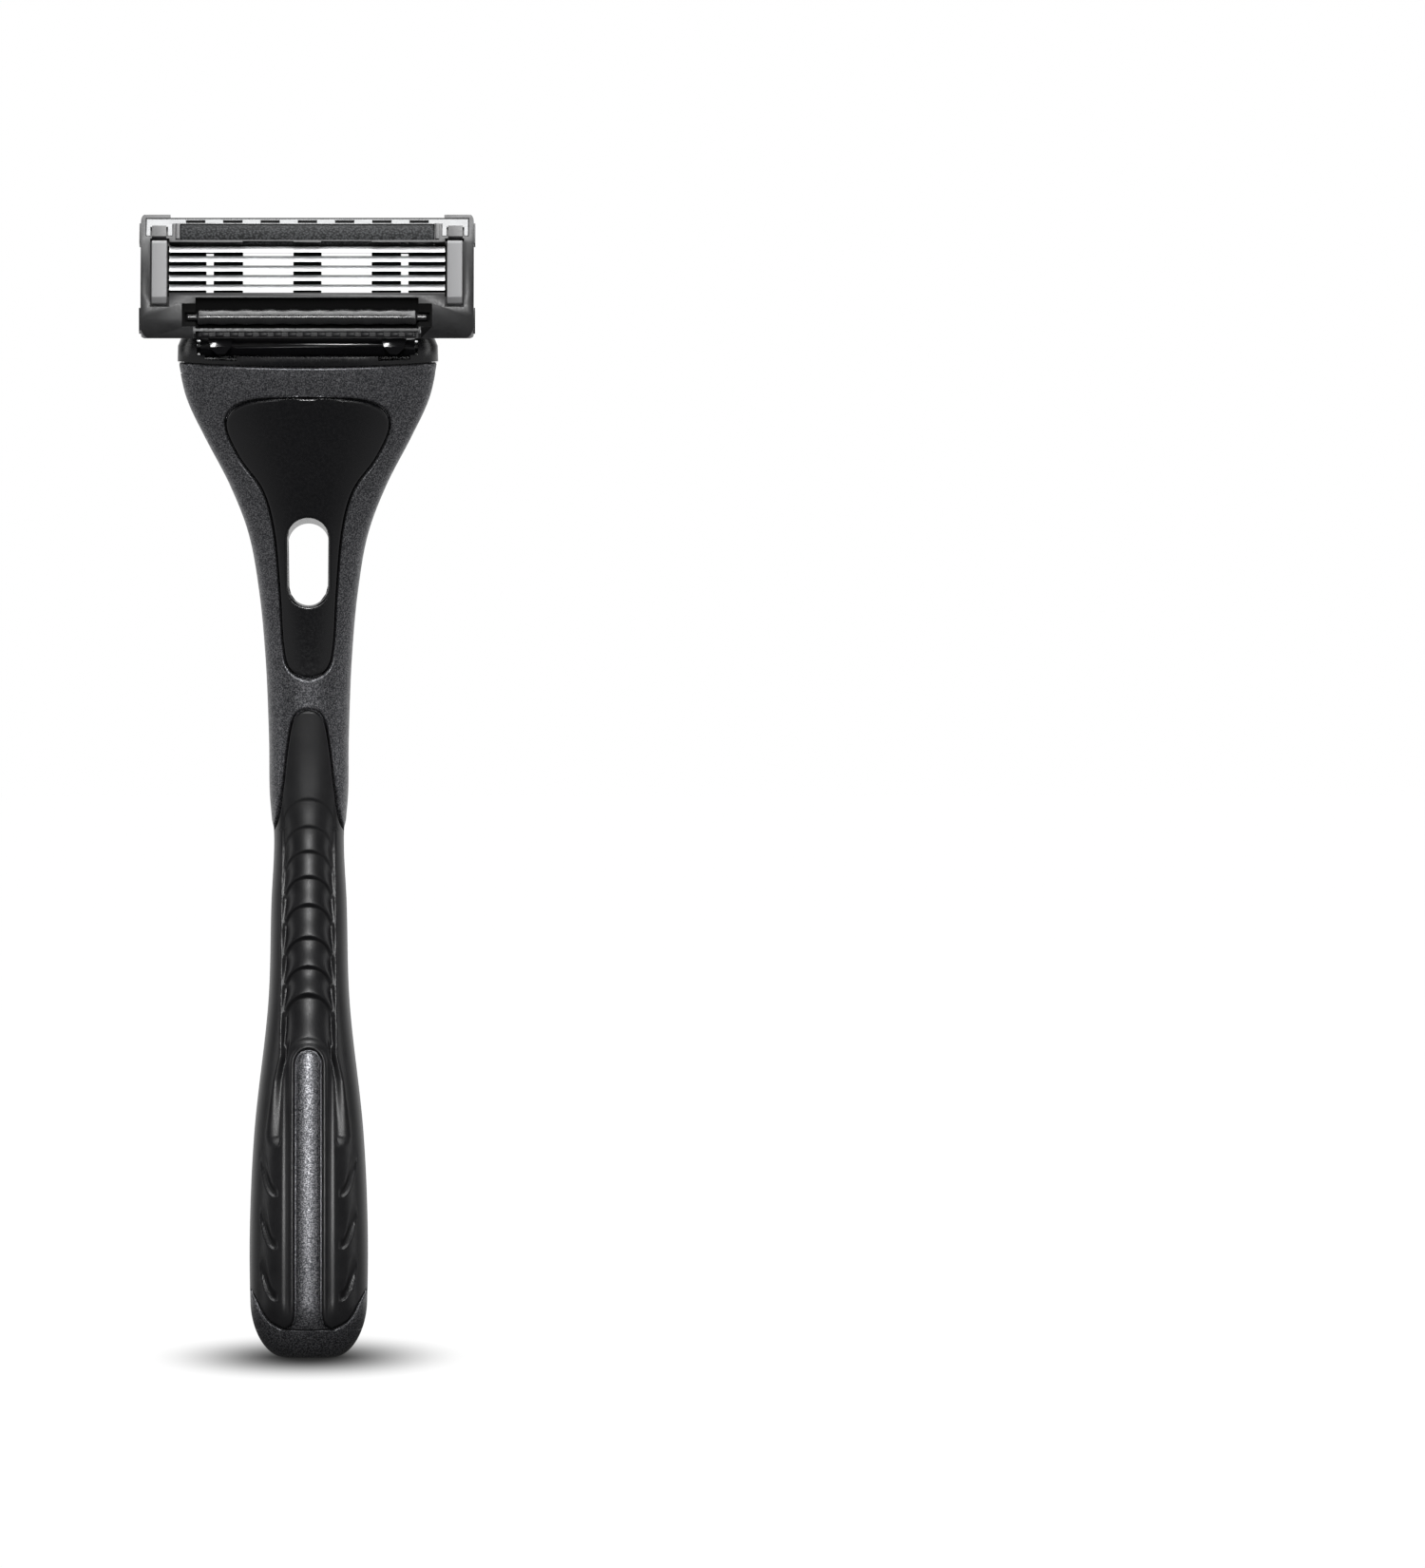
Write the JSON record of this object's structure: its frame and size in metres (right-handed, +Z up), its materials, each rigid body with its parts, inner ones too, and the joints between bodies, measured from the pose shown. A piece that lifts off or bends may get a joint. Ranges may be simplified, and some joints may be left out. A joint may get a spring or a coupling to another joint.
{
  "type": "cartridge razor",
  "caption": "Upright wet-shaving razor: curved handle with rubber grips and a hanging slot, and a pivoting, removable cartridge with a roller guard.",
  "frame": {"origin": "middle of the small flat on the end of the handle", "axes": "+Z up the handle towards the cartridge, blades face -Y, symmetric about the X = 0 plane"},
  "size_m": [0.0422, 0.024, 0.144],
  "materials": {
    "graphite_coat": "satin",
    "satin_black": "satin",
    "soft_rubber": "matte",
    "gloss_black": "gloss",
    "cartridge_black": "textured",
    "polished_steel": "polished",
    "spring_steel": "satin",
    "lubricant": "granular"
  },
  "bodies": {
    "handle": {"handle_core": "graphite_coat", "front_inlay": "satin_black", "rear_cover": "satin_black", "front_grip": "soft_rubber", "rear_grip": "soft_rubber", "head_collar": "satin_black", "pivot_pin": "polished_steel", "plunger_spring": "spring_steel", "release_spring": "spring_steel"},
    "plunger": {"plunger": "gloss_black"},
    "release": {"ejector_slide": "gloss_black", "release_button": "satin_black"},
    "cradle": {"cradle": "gloss_black"},
    "cartridge": {"cartridge_frame": "cartridge_black", "cap_bar": "polished_steel", "lube_strip": "lubricant", "blade_1": "polished_steel", "blade_2": "polished_steel", "blade_3": "polished_steel", "blade_4": "polished_steel", "blade_5": "polished_steel", "blade_bracket_1": "spring_steel", "blade_bracket_2": "spring_steel", "blade_bracket_3": "spring_steel", "blade_bracket_4": "spring_steel", "blade_bracket_5": "spring_steel", "end_strap_left": "gloss_black", "end_strap_right": "gloss_black", "fin_guard": "soft_rubber"},
    "roller": {"guard_roller": "satin_black"}
  },
  "joints": [
    {"name": "cartridge_pivot", "type": "hinge", "parent": "handle", "child": "cradle", "pos_m": [0, -0.005, 0.1275], "axis": [-1, 0, 0], "range_deg": [0, 40], "stiffness_Nm_per_rad": 0.014, "springref_deg": -11.46},
    {"name": "plunger_slide", "type": "slide", "parent": "handle", "child": "plunger", "axis": [0, 0, 1], "range_m": [-0.0022, 0], "deforming": ["plunger_spring"]},
    {"name": "release_slide", "type": "slide", "parent": "handle", "child": "release", "axis": [0, 0, 1], "range_m": [0, 0.0022], "stiffness_N_per_m": 400, "springref_m": -0.001, "deforming": ["release_spring"]},
    {"name": "cartridge_eject", "type": "slide", "parent": "cradle", "child": "cartridge", "axis": [0, 0.342, 0.9397], "range_m": [0, 0.02]},
    {"name": "roller_spin", "type": "hinge", "parent": "cartridge", "child": "roller", "pos_m": [0, -0.01218, 0.13127], "axis": [1, 0, 0], "continuous": true}
  ],
  "couplings": [
    {"joint": "plunger_slide", "follows": "cartridge_pivot", "m_per_rad": -0.003}
  ]
}
